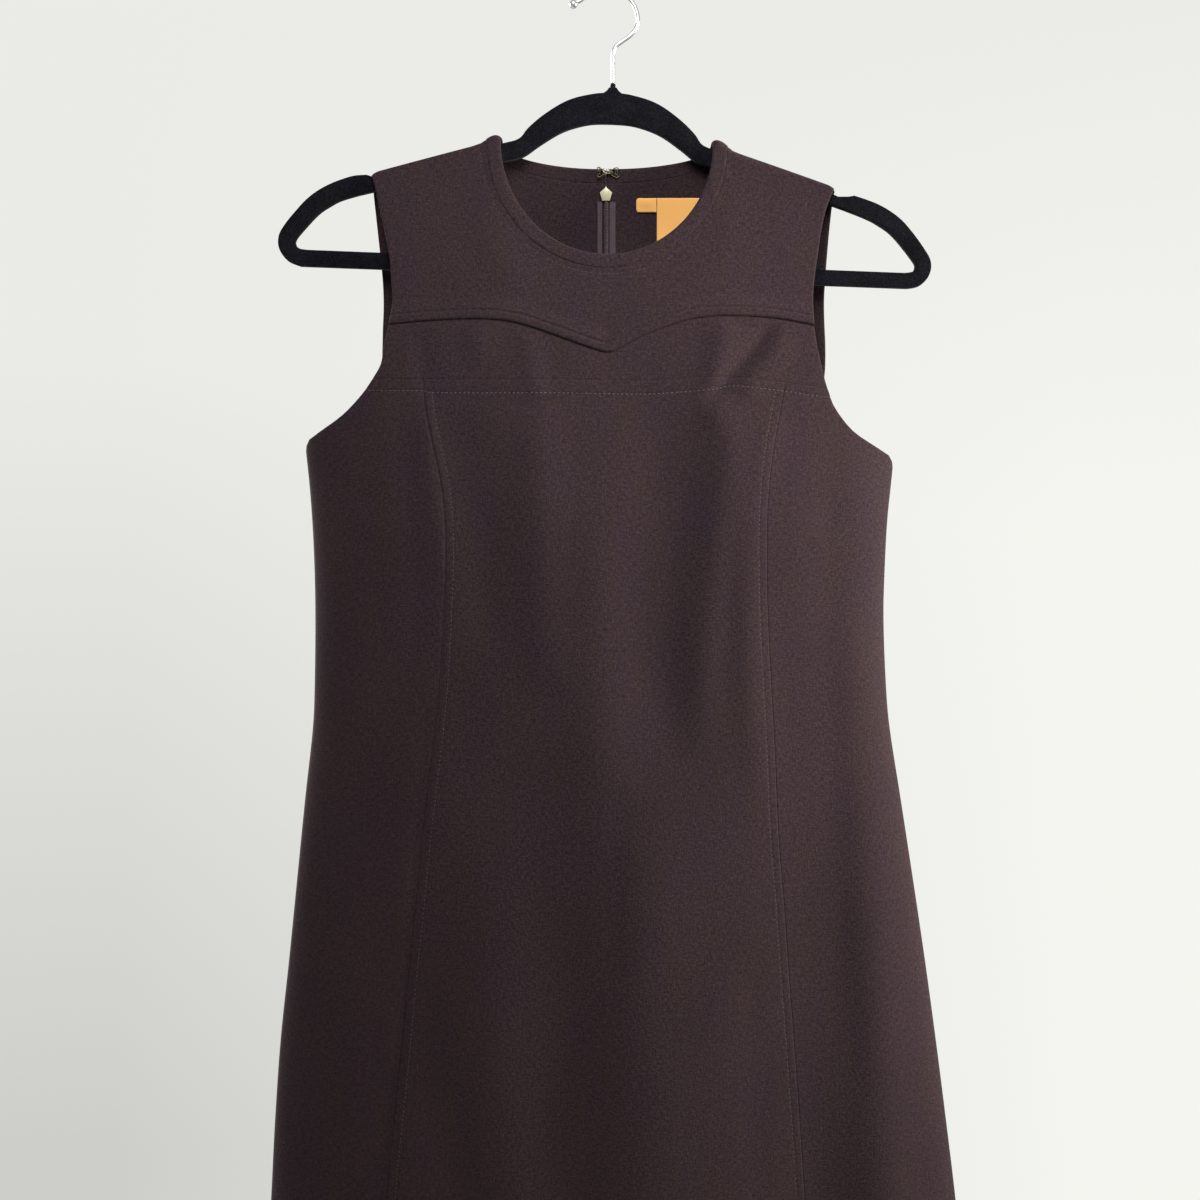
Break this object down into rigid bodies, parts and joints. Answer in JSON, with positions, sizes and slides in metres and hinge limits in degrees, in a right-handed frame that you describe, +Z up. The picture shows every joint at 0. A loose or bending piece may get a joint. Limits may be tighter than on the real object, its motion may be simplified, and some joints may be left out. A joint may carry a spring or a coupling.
{
  "type": "sheath dress on a hanger",
  "caption": "Sleeveless knee-length sheath dress with a round neck band, pointed yoke, princess seams and back zip, hung on a slim flocked hanger with a wire hook.",
  "frame": {"origin": "inside of the crown of the hanger's hook, where the rail carries it", "axes": "+Z up, -Y the front of the dress, X across the shoulders with +X on the right as seen from the front"},
  "size_m": [0.4959, 0.0948, 1.0308],
  "materials": {
    "wool": "fine stretch wool, matt, dark aubergine brown",
    "zip_textile": "woven zip tape and nylon coil, satin, mauve brown",
    "label_weave": "bare woven label, satin, orange",
    "flock": "flocked plastic, velvet matt, black",
    "chrome": "polished",
    "cream_enamel": "enamelled, pale cream gold",
    "brass": "dulled wire"
  },
  "bodies": {
    "dress": {"front_neck_band": "wool", "back_neck_band_left": "wool", "back_neck_band_right": "wool", "front_yoke": "wool", "front_chest_band": "wool", "front_centre_panel": "wool", "front_side_panel_left": "wool", "front_side_panel_right": "wool", "back_panel_left": "wool", "back_panel_right": "wool", "zip_tape_left": "zip_textile", "zip_tape_right": "zip_textile", "zip_chain": "zip_textile", "zip_slider": "cream_enamel", "neck_hook": "brass", "neck_eye": "brass", "neck_label": "label_weave", "size_tab": "label_weave", "hanger_body": "flock", "hanger_hook": "chrome", "hook_tip": "chrome"},
    "pull_tab": {"zip_pull": "cream_enamel"}
  },
  "joints": [
    {"name": "zip_pull_swing", "type": "hinge", "parent": "dress", "child": "pull_tab", "pos_m": [0, 0.01339, -0.13591], "axis": [1, 0, 0], "range_deg": [0, 165]}
  ]
}
